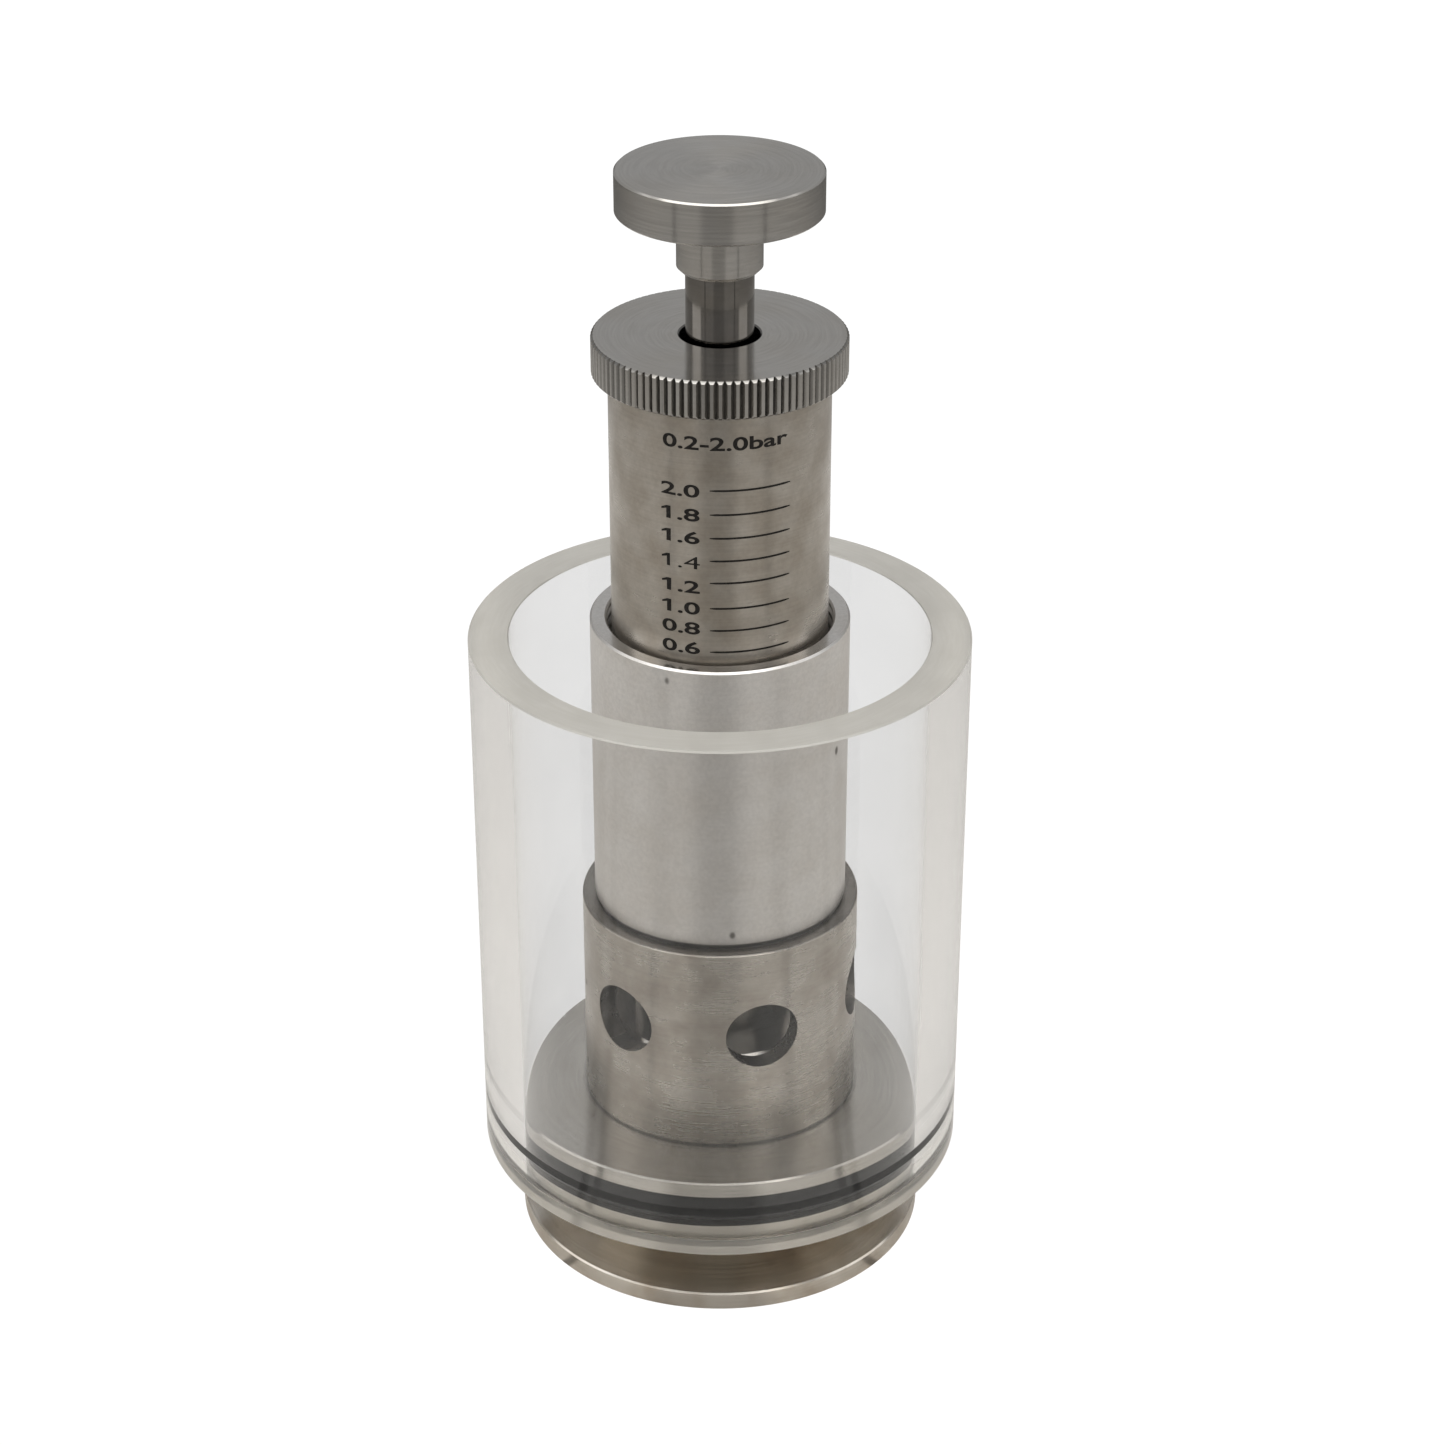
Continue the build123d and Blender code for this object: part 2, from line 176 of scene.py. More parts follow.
# Studio, fixed round the valve. The camera sees plain white, and a dimmer white through the cup.
# Reflections show paper that changes with distance from the valve, a tent that is brighter
# overhead, and towards VIEW_AZIMUTH an opening between two dark posts, with a dark shape in it as
# a camera and its owner make. Angles are off VIEW_AZIMUTH. A shade below 0 is brighter.
PAPER_REACH = 6.0
PAPER_SEEN = 1.05
PAPER_THROUGH_CUP = 0.83
PAPER_BY_DISTANCE = (
    (0.00, (0.73, 0.71, 0.68)),
    (0.12, (0.56, 0.545, 0.52)),
    (0.22, (0.50, 0.487, 0.465)),
    (0.29, (0.68, 0.662, 0.635)),
    (0.44, (0.13, 0.126, 0.12)),
)
PAPER_GRADIENT_REACH = 0.5
TENT_LOW, TENT_HIGH = 0.34, 0.54
TENT_HIGH_FROM = 0.9
SHADE_FULL_BELOW, SHADE_NONE_ABOVE = 0.45, 0.75
OPENING_EDGE = math.radians(50)
OPENING_SOFT_EDGE = 0.02
OPENING_SHADE = -0.12
POST_SHADE = 0.6
POST_HALF_WIDTH = math.radians(2.4)
POST_CORE = 0.3
CAMERA_BEARING = math.radians(-3)
CAMERA_HALF_WIDTH = math.radians(19)
CAMERA_SOFT_EDGE = math.radians(7)
CAMERA_SHADE = 0.45

# Lamps: name, place (right, away from the viewer, up), size, power in watts, color
LAMP_TARGET = (0, 0, 0.09)
LAMPS = (
    ("overhead_box", (-0.05, -0.25, 1.25), (1.7, 1.0), 11, (1.0, 0.985, 0.96)),
    ("left_box", (-1.15, -0.1, 0.75), (0.8, 0.8), 1.8, (1, 1, 1)),
    ("right_box", (1.15, -0.1, 0.75), (0.8, 0.8), 1.5, (1, 1, 1)),
)


# ---- geometry helpers --------------------------------------------------------------------


def new_piece(name, verts, faces):
    mesh = bpy.data.meshes.new(name)
    mesh.from_pydata(verts, [], faces)
    mesh.update()
    mesh.shade_smooth()
    piece = bpy.data.objects.new(name, mesh)
    bpy.context.scene.collection.objects.link(piece)
    return piece


def lathe(name, profile):
    """A closed ring from (radius, height) points, going round the outline anticlockwise."""
    verts = []
    for step in range(LATHE_SEGMENTS):
        angle = 2 * math.pi * step / LATHE_SEGMENTS
        for radius, height in profile:
            verts.append((radius * math.cos(angle), radius * math.sin(angle), height))
    count = len(profile)
    faces = []
    for step in range(LATHE_SEGMENTS):
        here = step * count
        there = (step + 1) % LATHE_SEGMENTS * count
        for k in range(count):
            after = (k + 1) % count
            faces.append((here + k, there + k, there + after, here + after))
    return new_piece(name, verts, faces)


def split_sharp_edges(piece, degrees):
    """Smooth curved faces but keep turned corners crisp."""
    piece.data.set_sharp_from_angle(angle=math.radians(degrees))


def wire(name, path, radius):
    """A round wire along a list of points, capped at both ends."""
    verts = []
    faces = []
    for index, point in enumerate(path):
        before = path[max(index - 1, 0)]
        after = path[min(index + 1, len(path) - 1)]
        tangent = [a - b for a, b in zip(after, before)]
        length = math.sqrt(sum(t * t for t in tangent))
        tangent = [t / length for t in tangent]
        reach = math.hypot(point[0], point[1])
        outward = (point[0] / reach, point[1] / reach, 0.0)
        upward = (
            tangent[1] * outward[2] - tangent[2] * outward[1],
            tangent[2] * outward[0] - tangent[0] * outward[2],
            tangent[0] * outward[1] - tangent[1] * outward[0],
        )
        for side in range(WIRE_SIDES):
            angle = 2 * math.pi * side / WIRE_SIDES
            verts.append(tuple(
                p + radius * (math.cos(angle) * o + math.sin(angle) * u)
                for p, o, u in zip(point, outward, upward)
            ))
    for index in range(len(path) - 1):
        for side in range(WIRE_SIDES):
            after = (side + 1) % WIRE_SIDES
            here = index * WIRE_SIDES
            there = here + WIRE_SIDES
            faces.append((here + side, here + after, there + after, there + side))
    faces.append(tuple(range(WIRE_SIDES))[::-1])
    last = (len(path) - 1) * WIRE_SIDES
    faces.append(tuple(last + side for side in range(WIRE_SIDES)))
    return new_piece(name, verts, faces)


# ---- material helpers --------------------------------------------------------------------


class Shade:
    """One material and short ways to add nodes to it."""

    def __init__(self, name, **uniform):
        self.material = bpy.data.materials.new(name)
        self.material.use_nodes = True
        self.tree = self.material.node_tree
        self.shader = self.tree.nodes["Principled BSDF"]
        for socket, value in uniform.items():
            self.shader.inputs[socket.replace("_", " ")].default_value = value
        self.place = self.tree.nodes.new("ShaderNodeTexCoord").outputs["Object"]

    def feed(self, node, socket, value):
        if isinstance(value, bpy.types.NodeSocket):
            self.tree.links.new(value, node.inputs[socket])
        else:
            node.inputs[socket].default_value = value

    def math(self, operation, first, second=0.0):
        node = self.tree.nodes.new("ShaderNodeMath")
        node.operation = operation
        self.feed(node, 0, first)
        self.feed(node, 1, second)
        return node.outputs[0]

    def ramp(self, value, low, high, out_low=0.0, out_high=1.0):
        node = self.tree.nodes.new("ShaderNodeMapRange")
        node.interpolation_type = "SMOOTHSTEP"
        self.feed(node, 0, value)
        for socket, number in zip((1, 2, 3, 4), (low, high, out_low, out_high)):
            node.inputs[socket].default_value = number
        return node.outputs[0]

    def vary(self, noise, out_low, out_high):
        """The usual spread of a noise, 0.3 to 0.7, turned into out_low to out_high."""
        return self.ramp(noise, 0.3, 0.7, out_low, out_high)

    def mix(self, share, first, second):
        node = self.tree.nodes.new("ShaderNodeMix")
        node.data_type = "RGBA"
        self.feed(node, 0, share)
        self.feed(node, 6, first)
        self.feed(node, 7, second)
        return node.outputs[2]

    def scaled(self, vector, factors):
        node = self.tree.nodes.new("ShaderNodeVectorMath")
        node.operation = "MULTIPLY"
        self.feed(node, 0, vector)
        node.inputs[1].default_value = factors
        return node.outputs[0]

    def split(self, vector):
        node = self.tree.nodes.new("ShaderNodeSeparateXYZ")
        self.feed(node, 0, vector)
        return node.outputs

    def hypot(self, first, second):
        squares = self.math("ADD", self.math("POWER", first, 2.0), self.math("POWER", second, 2.0))
        return self.math("SQRT", squares)

    def noise(self, vector, scale, detail=4.0, roughness=0.55):
        node = self.tree.nodes.new("ShaderNodeTexNoise")
        self.feed(node, "Vector", vector)
        node.inputs["Scale"].default_value = scale
        node.inputs["Detail"].default_value = detail
        node.inputs["Roughness"].default_value = roughness
        return node.outputs[0]

    def lathe_place(self, drift=0.5):
        """Radius and height in mm, for a pattern that runs round the axis in long marks.

        Both drift by up to drift mm on the way round, so that no mark closes into a ring.
        """
        across, along, height = self.split(self.place)
        radius = self.hypot(across, along)
        safe = self.math("MAXIMUM", radius, 1e-5)
        side = self.math("MULTIPLY", self.math("DIVIDE", across, safe), drift)
        front = self.math("MULTIPLY", self.math("DIVIDE", along, safe), drift)
        join = self.tree.nodes.new("ShaderNodeCombineXYZ")
        self.feed(join, 0, self.math("ADD", self.math("MULTIPLY", radius, 1 / MM), side))
        self.feed(join, 1, self.math("ADD", self.math("MULTIPLY", height, 1 / MM), front))
        self.feed(join, 2, self.math("ADD", side, front))
        return join.outputs[0]

    def bump(self, height, distance, strength=1.0, under=None):
        node = self.tree.nodes.new("ShaderNodeBump")
        node.inputs["Strength"].default_value = strength
        node.inputs["Distance"].default_value = distance
        self.feed(node, "Height", height)
        if under is not None:
            self.feed(node, "Normal", under)
        return node.outputs[0]

    def out(self, socket, value):
        self.tree.links.new(value, self.shader.inputs[socket])


def pits(shade, share):
    """1 inside small scattered pits, one in this share of the cells, and 0 elsewhere."""
    node = shade.tree.nodes.new("ShaderNodeTexVoronoi")
    shade.feed(node, "Vector", shade.scaled(shade.place, PIT_CELL_STRETCH))
    node.inputs["Scale"].default_value = PIT_CELLS_PER_M
    near = shade.ramp(node.outputs["Distance"], PIT_SIZE, PIT_SIZE * PIT_FLOOR)
    pick = shade.tree.nodes.new("ShaderNodeSeparateColor")
    shade.feed(pick, 0, node.outputs["Color"])
    chosen = shade.math("LESS_THAN", pick.outputs[0], share)
    return shade.math("MULTIPLY", near, chosen)


def steel(name, bright, stain, stain_share, roughness, anisotropy, patch_mm=7.0, line_mm=0.35,
          line_tone=0.05, line_depth_mm=0.00006, fleck_tone=0.0, pit_share=0.0,
          face_roughness=None, outer_mm=None, foot_mm=None, collar_mm=None, knurl_mm=None):
    """Stainless steel with tool marks round the axis, brownish patches, flecks and a few pits.

    face_roughness is for flat machined ends. The other four give painted shade: the steel is
    darker inside the radius outer_mm; up to just above the height foot_mm, where the part stands
    on another; inside and just beyond the radius collar_mm, where another part stands on it; and,
    save on flat faces, towards the roots of a knurl that lies between the two radii knurl_mm.
    """
    shade = Shade(name, Metallic=1.0, Anisotropic=anisotropy, Anisotropic_Rotation=0.25)
    tangent = shade.tree.nodes.new("ShaderNodeTangent")
    tangent.direction_type = "RADIAL"
    tangent.axis = "Z"
    shade.out("Tangent", tangent.outputs[0])

    lines = shade.noise(shade.lathe_place(), 1 / line_mm, 2.5, 0.5)
    fleck = shade.noise(shade.place, FLECKS_PER_M, 4.0, 0.65)
    patch = shade.noise(shade.place, 1000 / patch_mm, 3.0, 0.55)
    broad = shade.noise(shade.place, 1000 / (BROAD_PATCH * patch_mm), 3.0, 0.5)
    cloud = shade.math("ADD", shade.math("MULTIPLY", patch, PATCH_WEIGHT),
                       shade.math("MULTIPLY", broad, BROAD_WEIGHT))
    stained = shade.ramp(cloud, STAIN_FROM, STAIN_TO, 0.0, stain_share)

    radius, height, _ = shade.split(shade.lathe_place(0.0))
    geometry = shade.tree.nodes.new("ShaderNodeNewGeometry")
    upright = shade.math("ABSOLUTE", shade.split(geometry.outputs["True Normal"])[2])
    level = shade.ramp(upright, LEVEL_FROM, LEVEL_TO)

    tones = [shade.vary(lines, 1.0 - line_tone, 1.0 + line_tone),
             shade.vary(fleck, 1.0 - fleck_tone, 1.0 + fleck_tone)]
    # Painted shade inside the radius outer_mm, for the shade in a bore and its holes
    if outer_mm is not None:
        inner_shaded, unshaded = (outer_mm - inward for inward in INSIDE_EDGE_MM)
        tones.append(shade.ramp(radius, inner_shaded, unshaded, INSIDE_SHADE_TONE, 1.0))
    # Painted shade up to just above the foot, where the part stands on another
    if foot_mm is not None:
        foot_shaded, unshaded = (foot_mm + above for above in FOOT_SHADE_MM)
        tones.append(shade.ramp(height, foot_shaded, unshaded, PAINTED_SHADE_TONE, 1.0))
    # Painted shade inside and just beyond the radius collar_mm, round another part's foot
    if collar_mm is not None:
        tones.append(shade.ramp(radius, collar_mm, collar_mm + COLLAR_SHADE_MM, COLLAR_SHADE_TONE, 1.0))
    # Painted shade towards a knurl's roots, kept off its flat faces
    if knurl_mm is not None:
        knurl_shade = shade.ramp(radius, *knurl_mm, PAINTED_SHADE_TONE, 1.0)
        tones.append(shade.math("MAXIMUM", knurl_shade, level))
    tone = tones[0]
    for factor in tones[1:]:
        tone = shade.math("MULTIPLY", tone, factor)
    toned = shade.tree.nodes.new("ShaderNodeVectorMath")
    toned.operation = "SCALE"
    shade.feed(toned, 0, shade.mix(stained, (*bright, 1), (*stain, 1)))
    shade.feed(toned, "Scale", tone)
    metal = toned.outputs[0]

    rough = shade.math("ADD", shade.math("MULTIPLY", stained, STAIN_ROUGHER),
                       shade.ramp(lines, 0.25, 0.75, roughness - LINE_SMOOTHER,
                                  roughness + LINE_ROUGHER))
    if face_roughness is not None:
        rough = shade.math("ADD", rough, shade.math("MULTIPLY", level, face_roughness - roughness))
    normal = shade.bump(lines, line_depth_mm * MM)
    if pit_share > 0:
        pit = pits(shade, pit_share)
        metal = shade.mix(shade.math("MULTIPLY", pit, PIT_COVER), metal, PIT_COLOR)
        rough = shade.math("ADD", rough, shade.math("MULTIPLY", pit, PIT_ROUGHER))
        normal = shade.bump(shade.math("SUBTRACT", 1.0, pit), PIT_DEPTH, 0.6, normal)
    shade.out("Base Color", metal)
    shade.out("Roughness", rough)
    shade.out("Normal", normal)
    return shade.material


def plastic(name, color, roughness, fleck_mm, depth_mm, **uniform):
    """A moulded or machined plastic or rubber with faint flecks and a fine skin."""
    shade = Shade(name, **uniform)
    fleck = shade.noise(shade.place, 1000 / fleck_mm, 4.0, 0.6)
    dark = tuple(PLASTIC_FLECK_TONE * c for c in color)
    shade.out("Base Color", shade.mix(shade.ramp(fleck, 0.35, 0.65), (*dark, 1), (*color, 1)))
    shade.out("Roughness", shade.vary(fleck, roughness - 0.06, roughness + 0.08))
    shade.out("Normal", shade.bump(fleck, depth_mm * MM))
    return shade.material


def acrylic_wall(name, scratch_roughness):
    """Clear cast acrylic with a faint grey tint and fine upright scratches."""
    shade = Shade(name, IOR=ACRYLIC_IOR, Transmission_Weight=1.0)
    streak = shade.noise(shade.scaled(shade.place, SCRATCHES_PER_M), 1.0, 4.0, 0.6)
    smear = shade.noise(shade.place, SMEARS_PER_M, 3.0, 0.5)
    shade.out("Base Color", shade.mix(shade.ramp(smear, 0.35, 0.65), ACRYLIC_CLEAR,
                                      ACRYLIC_SMEARED))
    shade.out("Roughness", shade.ramp(streak, SCRATCH_FROM, SCRATCH_TO, 0.0, scratch_roughness))
    shade.out("Normal", shade.bump(shade.ramp(streak, SCRATCH_FROM, SCRATCH_FLOOR),
                                   SCRATCH_DEPTH, 0.3))
    return shade.material


def acrylic_sawn(name, light, dark, see_through, refraction):
    """A sawn end of the tube: matt, with fine marks round the ring and a few duller patches."""
    shade = Shade(name, IOR=refraction, Transmission_Weight=see_through)
    marks = shade.noise(shade.lathe_place(SAWN_MARK_DRIFT), SAWN_MARKS_PER_MM, 4.0, 0.65)
    blotch = shade.noise(shade.place, SAWN_BLOTCHES_PER_M, 3.0, 0.5)
    tone = shade.mix(shade.vary(marks, 0.0, 1.0), (*dark, 1), (*light, 1))
    duller = tuple(SAWN_BLOTCH_TONE * c for c in dark)
    shade.out("Base Color", shade.mix(shade.ramp(blotch, 0.4, 0.7, 0.0, 0.4), tone, (*duller, 1)))
    shade.out("Roughness", shade.vary(marks, 0.5, 0.62))
    shade.out("Normal", shade.bump(marks, SAWN_DEPTH))
    return shade.material


def scale_ink():
    """The scale's black marks, slightly uneven."""
    shade = Shade("scale_black", Specular_IOR_Level=0.15)
    fleck = shade.noise(shade.place, INK_FLECKS_PER_M, 3.0, 0.6)
    shade.out("Base Color", shade.mix(shade.vary(fleck, 0.0, 1.0), INK_BLACK, INK_WORN))
    shade.out("Roughness", shade.vary(fleck, 0.45, 0.6))
    shade.out("Normal", shade.bump(fleck, INK_DEPTH))
    return shade.material


# ---- materials of the CAD nodes ----------------------------------------------------------

BROWN = (0.42, 0.36, 0.29)

turned_top = steel("steel_turned", (0.54, 0.527, 0.505), (0.45, 0.415, 0.365), 0.4, 0.20, 0.93,
                   patch_mm=9)
# The cap's steel has painted shade towards the knurl's roots
turned_cap = steel("steel_turned_cap", (0.54, 0.527, 0.505), (0.45, 0.415, 0.365), 0.4, 0.15, 0.9,
                   patch_mm=9, knurl_mm=(18.0, 18.9))
# Painted shade round the cage's foot on the flange, and all over the smaller parts inside it
turned_base = steel("steel_turned_base", (0.53, 0.508, 0.468), (0.44, 0.40, 0.34), 0.4, 0.17, 0.9,
                    patch_mm=11, pit_share=0.01, collar_mm=21.4)
sleeve_steel = steel("steel_scale_sleeve", (0.47, 0.44, 0.398), (0.355, 0.313, 0.262), 0.75, 0.27,
                     0.75, patch_mm=5.5, line_mm=0.3, line_tone=0.045, fleck_tone=0.05,
                     pit_share=0.03)
bonnet_steel = steel("steel_drawn_tube", (0.735, 0.717, 0.695), (0.60, 0.555, 0.50), 0.4, 0.36,
                     0.35, patch_mm=8, line_mm=0.5, line_tone=0.015, fleck_tone=0.05,
                     pit_share=0.13, face_roughness=0.16)
# The cage's steel has painted shade inside its bore and holes, and at its foot on the flange
cage_steel = steel("steel_stained_cage", (0.485, 0.455, 0.412), (0.34, 0.295, 0.25), 0.75, 0.26,
                   0.78, patch_mm=5.5, line_mm=0.4, fleck_tone=0.04, pit_share=0.05,
                   face_roughness=0.2, outer_mm=21.4, foot_mm=25.1)
ferrule_steel = steel("steel_ferrule", (0.72, 0.675, 0.61), (0.46, 0.39, 0.31), 0.75, 0.20, 0.85)
# Painted shade: the stem's steel is darker, for the knob's shade and the dark things it reflects
stem_steel_painted_shade = steel("steel_ground_rod_painted_shade", (0.29, 0.277, 0.262), (0.22, 0.195, 0.16), 0.5, 0.08, 0.6,
                   patch_mm=5, line_mm=0.25, line_tone=0.03, line_depth_mm=0.00004)
# Painted shade: the plug's steel is darker, for the shade inside the cage
plug_steel_painted_shade = steel("steel_plug_painted_shade", (0.40, 0.385, 0.36), (0.28, 0.24, 0.20), 0.6, 0.18, 0.7,
                   patch_mm=6)
bright_steel = steel("steel_bright_fastener", (0.70, 0.69, 0.67), BROWN, 0.15, 0.20, 0.3)
wire_steel = steel("steel_spring_wire", (0.58, 0.56, 0.53), BROWN, 0.25, 0.25, 0.0,
                   fleck_tone=0.05)
ptfe = plastic("ptfe_white", (0.86, 0.86, 0.84), 0.38, 1.2, 0.01)
silicone = plastic("silicone_milky", (0.80, 0.79, 0.75), 0.35, 1.5, 0.01, Subsurface_Weight=0.2,
                   Subsurface_Scale=0.002)
rubber = plastic("rubber_black", (0.012, 0.012, 0.0125), 0.32, 0.8, 0.008,
                 Specular_IOR_Level=0.1)

for node_name, material in {
    "ferrule": ferrule_steel, "base_flange": turned_base, "vent_cage": cage_steel,
    "bonnet_gasket": ptfe, "bonnet": bonnet_steel, "guide_bush": ptfe, "plug": plug_steel_painted_shade,
    "seat_disc": silicone, "seat_retainer": turned_base, "retainer_screw": bright_steel,
    "stem_nut": bright_steel, "stem": stem_steel_painted_shade, "knob": turned_top,
    "spring_washer": bright_steel, "spring_seat": turned_base, "thrust_washer": ptfe,
    "scale_sleeve": sleeve_steel, "adjuster_cap": turned_cap, "stem_bush": ptfe,
}.items():
    nodes[node_name].data.materials.clear()
    nodes[node_name].data.materials.append(material)


# ---- water cup ---------------------------------------------------------------------------


def make_cup():
    """The acrylic tube: clear walls and sawn ends with small bevels."""
    low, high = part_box("cup")
    outer = high.x
    wall_height = high.z - TOP_BEVEL - low.z - FOOT_BEVEL
    profile = [
        (CUP_BORE + FOOT_BEVEL, low.z),
        (outer - FOOT_BEVEL, low.z),
        (outer, low.z + FOOT_BEVEL),
    ]
    for row in range(1, CUP_WALL_ROWS):
        profile.append((outer, low.z + FOOT_BEVEL + wall_height * row / CUP_WALL_ROWS))
    outer_top = len(profile)
    profile += [
        (outer, high.z - TOP_BEVEL),
        (outer - TOP_BEVEL, high.z),
        (CUP_BORE + TOP_BORE_BEVEL, high.z),
        (CUP_BORE, high.z - TOP_BORE_BEVEL),
        (CUP_BORE, low.z + FOOT_BEVEL),
    ]
    count = len(profile)
    piece = lathe("clear_cup", profile)
    split_sharp_edges(piece, CUP_SHARP_DEGREES)
    for material, strips in (
        (acrylic_wall("acrylic_outer_wall", 0.10), set(range(2, outer_top))),
        (acrylic_wall("acrylic_bore", 0.04), {count - 2}),
        (acrylic_sawn("acrylic_sawn_top", (0.57, 0.555, 0.515), (0.52, 0.503, 0.46), 0.35,
                      ACRYLIC_IOR), {outer_top, outer_top + 1, outer_top + 2}),
        (acrylic_sawn("acrylic_sawn_foot", (1.0, 0.985, 0.94), (0.97, 0.95, 0.90), 0.8,
                      SAWN_FOOT_IOR), {0, 1, count - 1}),
    ):
        piece.data.materials.append(material)
        for index, polygon in enumerate(piece.data.polygons):
            if index % count in strips:
                polygon.material_index = len(piece.data.materials) - 1
    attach(piece, "cup")
    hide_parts("cup")


# ---- cup seal ----------------------------------------------------------------------------


def make_seal():
    """The cup's O-ring, squeezed flat where it bears on the cup's bore."""
    low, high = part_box("cup_seal")
    middle = (low.z + high.z) / 2
    radius = (high.z - low.z) / 2
    centre = high.x - radius
    profile = []
    for step in range(SEAL_SIDES):
        angle = 2 * math.pi * step / SEAL_SIDES
        reach = centre + SEAL_BULGE * radius * math.cos(angle)
        profile.append((min(reach, SEAL_LAND), middle + radius * math.sin(angle)))
    piece = lathe("cup_seal_ring", profile)
    piece.data.materials.append(rubber)
    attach(piece, "valve_body")
    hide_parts("cup_seal")


# ---- spring ------------------------------------------------------------------------------


def spring_path(low, high):
    """The middle of the wire from end to end, with a closed turn at each end."""
    mean = high.x - WIRE_RADIUS
    bottom = low.z + WIRE_RADIUS
    top = high.z - WIRE_RADIUS
    total = ACTIVE_TURNS + 2 * CLOSED_TURNS
    path = []
    for index in range(int(total * POINTS_PER_TURN) + 1):
        turn = index / POINTS_PER_TURN
        if turn < CLOSED_TURNS:
            height = bottom + CLOSED_RISE * turn
        elif turn > total - CLOSED_TURNS:
            height = top - CLOSED_RISE * (total - turn)
        else:
            share = (turn - CLOSED_TURNS) / ACTIVE_TURNS
            eased = share - math.sin(2 * math.pi * share) / (2 * math.pi) * END_EASE
            height = bottom + CLOSED_RISE + (top - bottom - 2 * CLOSED_RISE) * eased
        angle = 2 * math.pi * turn
        path.append((mean * math.cos(angle), mean * math.sin(angle), height))
    return path


def make_spring():
    """The spring with ground ends, in two lengths cut at the joint height."""
    low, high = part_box("spring")
    path = spring_path(low, high)
    cut = next(i for i, point in enumerate(path) if point[2] >= SPRING_JOINT_HEIGHT)
    lower = wire("spring_lower_coils", path[:cut + 1], WIRE_RADIUS)
    upper = wire("spring_upper_coils", path[cut:], WIRE_RADIUS)
    for piece in (lower, upper):
        for vertex in piece.data.vertices:
            vertex.co.z = min(max(vertex.co.z, low.z), high.z)
        piece.data.materials.append(wire_steel)
        split_sharp_edges(piece, WIRE_SHARP_DEGREES)
    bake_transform(lower)
    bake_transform(upper)
    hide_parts("spring")
    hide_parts("spring")


# ---- scale -------------------------------------------------------------------------------


def on_sleeve(angle, height):
    """A point just proud of the sleeve; the angle is in radians from -Y towards +X."""
    reach = SLEEVE_RADIUS + MARK_PROUD
    return reach * math.sin(angle), -reach * math.cos(angle), height


def slice_upright(mesh, width):
    """Cuts a flat mesh along upright lines, so that it can follow the sleeve."""
    bm = bmesh.new()
    bm.from_mesh(mesh)
    for step in range(1, int(width / MARK_FACET) + 1):
        bmesh.ops.bisect_plane(bm, geom=bm.verts[:] + bm.edges[:] + bm.faces[:],
                               plane_co=(step * MARK_FACET, 0, 0), plane_no=(1, 0, 0))
    bm.to_mesh(mesh)
    bm.free()


def add_flag(mesh):
    """Gives the leading 1, a plain bar in this typeface, the short slanting flag at its top."""
    left = min(v.co.x for v in mesh.vertices)
    top = max(v.co.y for v in mesh.vertices if v.co.x < left + ONE_BAR_REACH)
    bm = bmesh.new()
    bm.from_mesh(mesh)
    corners = [(left + across, top - down, 0.0) for across, down in ONE_FLAG]
    bm.faces.new([bm.verts.new(corner) for corner in corners])
    bm.to_mesh(mesh)
    bm.free()


def text_piece(name, words, height, angles, middle_z):
    """A word of the scale, a thin flat mark wrapped on the sleeve between two angles.

    Its strokes are thickened, except where that would close the small counter of a 4.
    """
    curve = bpy.data.curves.new(name, "FONT")
    curve.body = words
    curve.size = 1.0
    curve.offset = 0.0 if "4" in words else STROKE_GAIN
    curve.resolution_u = 6
    probe = bpy.data.objects.new(name + "_probe", curve)
    bpy.context.scene.collection.objects.link(probe)
    bpy.context.view_layer.update()
    mesh = bpy.data.meshes.new_from_object(probe)
    bpy.data.objects.remove(probe)
    if words.startswith("1"):
        add_flag(mesh)
    xs = [v.co.x for v in mesh.vertices]
    ys = [v.co.y for v in mesh.vertices]
    left, right = min(xs), max(xs)
    low, high = min(ys), max(ys)
    first, last = (math.radians(angle) for angle in angles)
    radius = SLEEVE_RADIUS + MARK_PROUD
    width = (last - first) * radius
    for vertex in mesh.vertices:
        vertex.co.x = (vertex.co.x - left) / (right - left) * width
        vertex.co.y = ((vertex.co.y - low) / (high - low) - 0.5) * height
        vertex.co.z = 0.0
    slice_upright(mesh, width)
    for vertex in mesh.vertices:
        vertex.co = on_sleeve(first + vertex.co.x / radius, middle_z + vertex.co.y)
    piece = bpy.data.objects.new(name, mesh)
    bpy.context.scene.collection.objects.link(piece)
    return piece


def line_piece(name, middle_z):
    """One line of the scale, a strip round the sleeve that narrows at its ends."""
    first, last = (math.radians(angle) for angle in LINE_ANGLES)
    verts = []
    for step in range(LINE_STEPS + 1):
        share = step / LINE_STEPS
        growth = LINE_END_WIDTH + LINE_END_GROWTH * min(share, 1 - share)
        half = LINE_THICKNESS / 2 * min(1.0, growth)
        for side in (-half, half):
            verts.append(on_sleeve(first + (last - first) * share, middle_z + side))
    faces = [(2 * s, 2 * s + 2, 2 * s + 3, 2 * s + 1) for s in range(LINE_STEPS)]
    return new_piece(name, verts, faces)


def make_scale():
    ink = scale_ink()
    marks = []
    for words, (line_mm, number_mm) in SCALE_HEIGHTS.items():
        tag = words.replace(".", "_")
        marks.append(line_piece("scale_line_" + tag, line_mm * MM))
        marks.append(text_piece("scale_number_" + tag, words, NUMBER_HEIGHT, NUMBER_ANGLES,
                                number_mm * MM))
    marks.append(text_piece("scale_range", RANGE_TEXT, RANGE_SIZE, RANGE_ANGLES, RANGE_HEIGHT_Z))
    for mark in marks:
        mark.data.materials.clear()
        mark.data.materials.append(ink)
        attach(mark, "adjuster")


make_cup()
make_seal()
make_spring()
make_scale()


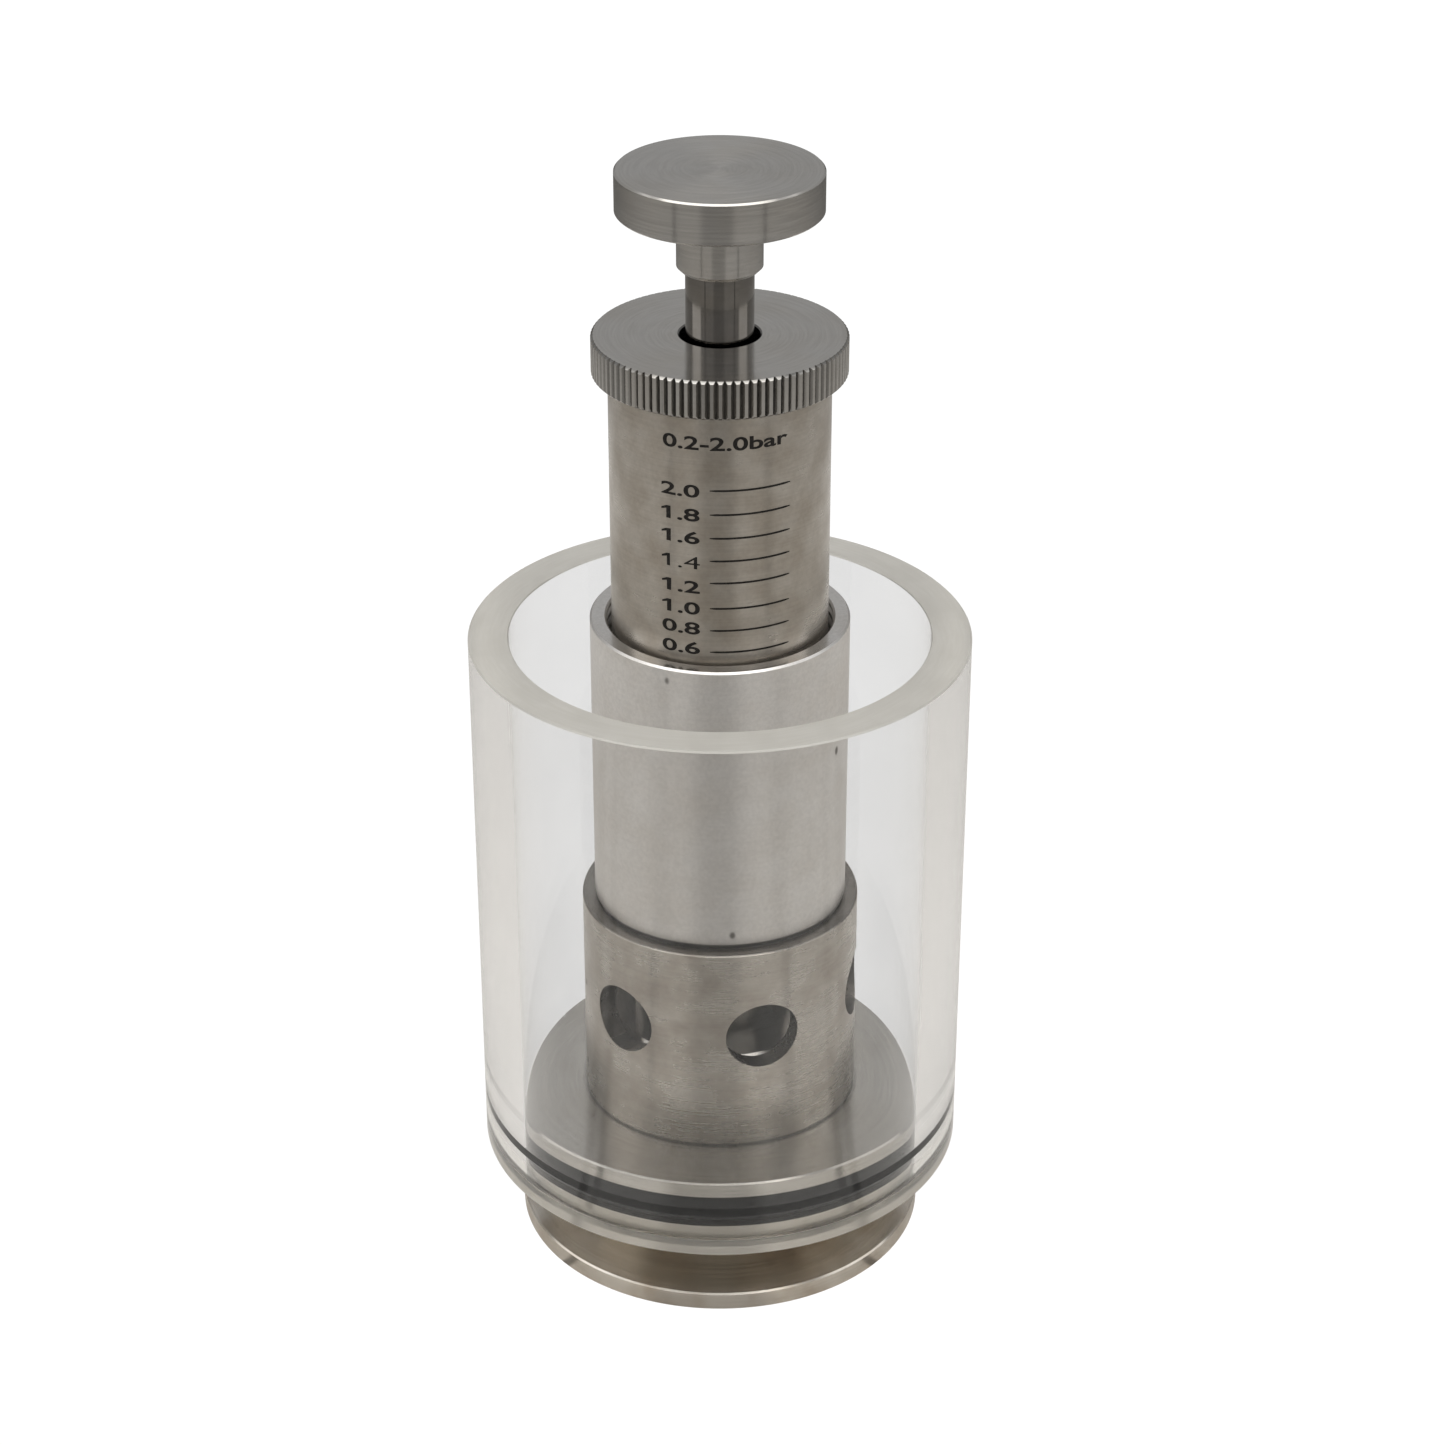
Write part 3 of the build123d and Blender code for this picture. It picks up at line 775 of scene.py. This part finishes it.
# ---- stage, light, camera ----------------------------------------------------------------


def to_world(right, forward, up):
    """A place given from the viewer's side: to the right, away from the viewer, and up."""
    c, s = math.cos(VIEW_AZIMUTH), math.sin(VIEW_AZIMUTH)
    return (right * c - forward * s, right * s + forward * c, up)


def area_light(name, place, size, power, color):
    data = bpy.data.lights.new(name, "AREA")
    data.shape = "RECTANGLE"
    data.size, data.size_y = size
    data.energy = power
    data.color = color
    light = bpy.data.objects.new(name, data)
    light.location = place
    aim = [t - p for t, p in zip(LAMP_TARGET, place)]
    flat = math.hypot(aim[0], aim[1])
    turn = math.atan2(aim[0], -aim[1]) + math.pi
    light.rotation_euler = (math.atan2(flat, -aim[2]), 0, turn)
    light.visible_camera = False
    bpy.context.scene.collection.objects.link(light)


def seen_round(shade, place):
    """Distance from the axis, height, and how dark the studio is in that direction."""
    across, along, height = shade.split(place)
    c, s = math.cos(VIEW_AZIMUTH), math.sin(VIEW_AZIMUTH)
    ahead = shade.math("SUBTRACT", shade.math("MULTIPLY", across, s),
                       shade.math("MULTIPLY", along, c))
    aside = shade.math("ADD", shade.math("MULTIPLY", across, c), shade.math("MULTIPLY", along, s))
    bearing = shade.math("ARCTAN2", aside, ahead)
    off_front = shade.math("ABSOLUTE", bearing)
    opening = shade.ramp(off_front, OPENING_EDGE + OPENING_SOFT_EDGE,
                         OPENING_EDGE - OPENING_SOFT_EDGE, 0.0, OPENING_SHADE)
    off_post = shade.math("ABSOLUTE", shade.math("SUBTRACT", off_front, OPENING_EDGE))
    post = shade.ramp(off_post, POST_HALF_WIDTH, POST_CORE * POST_HALF_WIDTH, 0.0, POST_SHADE)
    off_camera = shade.math("ABSOLUTE", shade.math("SUBTRACT", bearing, CAMERA_BEARING))
    camera = shade.ramp(off_camera, CAMERA_HALF_WIDTH + CAMERA_SOFT_EDGE,
                        CAMERA_HALF_WIDTH - CAMERA_SOFT_EDGE, 0.0, CAMERA_SHADE)
    dark = shade.math("MAXIMUM", shade.math("ADD", opening, camera), post)
    return shade.hypot(across, along), height, dark


def direct_light(shade):
    """How bright white is to a ray that nothing glossy has reflected, and 1 for a reflected ray."""
    path = shade.tree.nodes.new("ShaderNodeLightPath")
    reflected = shade.math("MULTIPLY",
                           shade.math("GREATER_THAN", path.outputs["Glossy Depth"], 0.5),
                           shade.math("LESS_THAN", path.outputs["Diffuse Depth"], 0.5))
    gain = shade.math("MULTIPLY", path.outputs["Is Camera Ray"], PAPER_SEEN - PAPER_THROUGH_CUP)
    seen = shade.math("ADD", PAPER_THROUGH_CUP, gain)
    return shade.math("MULTIPLY", seen, shade.math("SUBTRACT", 1.0, reflected)), reflected


def make_floor():
    """White paper to the eye, and in reflections the tones of PAPER_BY_DISTANCE."""
    reach = PAPER_REACH
    floor = new_piece("floor", [(-reach, -reach, 0), (reach, -reach, 0), (reach, reach, 0),
                                (-reach, reach, 0)], [(0, 1, 2, 3)])
    shade = Shade("floor_paper", Roughness=0.9, Specular_IOR_Level=0.0)
    direct, reflected = direct_light(shade)
    distance, _, dark = seen_round(shade, shade.place)
    gradient = shade.tree.nodes.new("ShaderNodeValToRGB")
    stops = gradient.color_ramp.elements
    while len(stops) < len(PAPER_BY_DISTANCE):
        stops.new(1.0)
    for stop, (stop_distance, color) in zip(stops, PAPER_BY_DISTANCE):
        stop.position = stop_distance / PAPER_GRADIENT_REACH
        stop.color = (*color, 1)
    shade.feed(gradient, 0, shade.math("DIVIDE", distance, PAPER_GRADIENT_REACH))
    paper = shade.mix(dark, gradient.outputs[0], (0, 0, 0, 1))
    shade.out("Base Color", shade.mix(reflected, (0, 0, 0, 1), paper))
    shade.shader.inputs["Emission Color"].default_value = (1, 1, 1, 1)
    shade.out("Emission Strength", direct)
    shade.material.cycles.emission_sampling = "NONE"
    floor.data.materials.append(shade.material)


class WorldShade(Shade):
    """The same short ways of adding nodes, for the surroundings."""

    def __init__(self, world):
        world.use_nodes = True
        self.tree = world.node_tree
        self.shader = self.tree.nodes["Background"]
        self.shader.inputs["Color"].default_value = (1, 1, 1, 1)
        self.place = self.tree.nodes.new("ShaderNodeTexCoord").outputs["Generated"]


def make_tent():
    """White to the eye, and in reflections a soft tent, brighter overhead, with its opening."""
    world = bpy.data.worlds.new("tent")
    shade = WorldShade(world)
    direct, reflected = direct_light(shade)
    _, height, dark = seen_round(shade, shade.place)
    wall = shade.ramp(height, 0.0, TENT_HIGH_FROM, TENT_LOW, TENT_HIGH)
    low_down = shade.ramp(height, SHADE_NONE_ABOVE, SHADE_FULL_BELOW)
    lit = shade.math("SUBTRACT", 1.0, shade.math("MULTIPLY", dark, low_down))
    wall = shade.math("MULTIPLY", wall, lit)
    shade.out("Strength", shade.math("ADD", direct, shade.math("MULTIPLY", wall, reflected)))
    bpy.context.scene.world = world


def make_lights():
    for name, place, size, power, color in LAMPS:
        area_light(name, to_world(*place), size, power, color)


def make_camera():
    data = bpy.data.cameras.new("camera")
    data.lens = LENS_MM
    data.sensor_width = SENSOR_MM
    data.clip_start = CLIP_NEAR
    data.clip_end = CLIP_FAR
    camera = bpy.data.objects.new("camera", data)
    camera.location = to_world(CAMERA_SIDESTEP, -CAMERA_DISTANCE, CAMERA_HEIGHT)
    camera.rotation_euler = (math.pi / 2 - CAMERA_PITCH, 0, VIEW_AZIMUTH)
    bpy.context.scene.collection.objects.link(camera)
    bpy.context.scene.camera = camera


make_floor()
make_tent()
make_lights()
make_camera()
bpy.context.scene.view_settings.view_transform = "Standard"
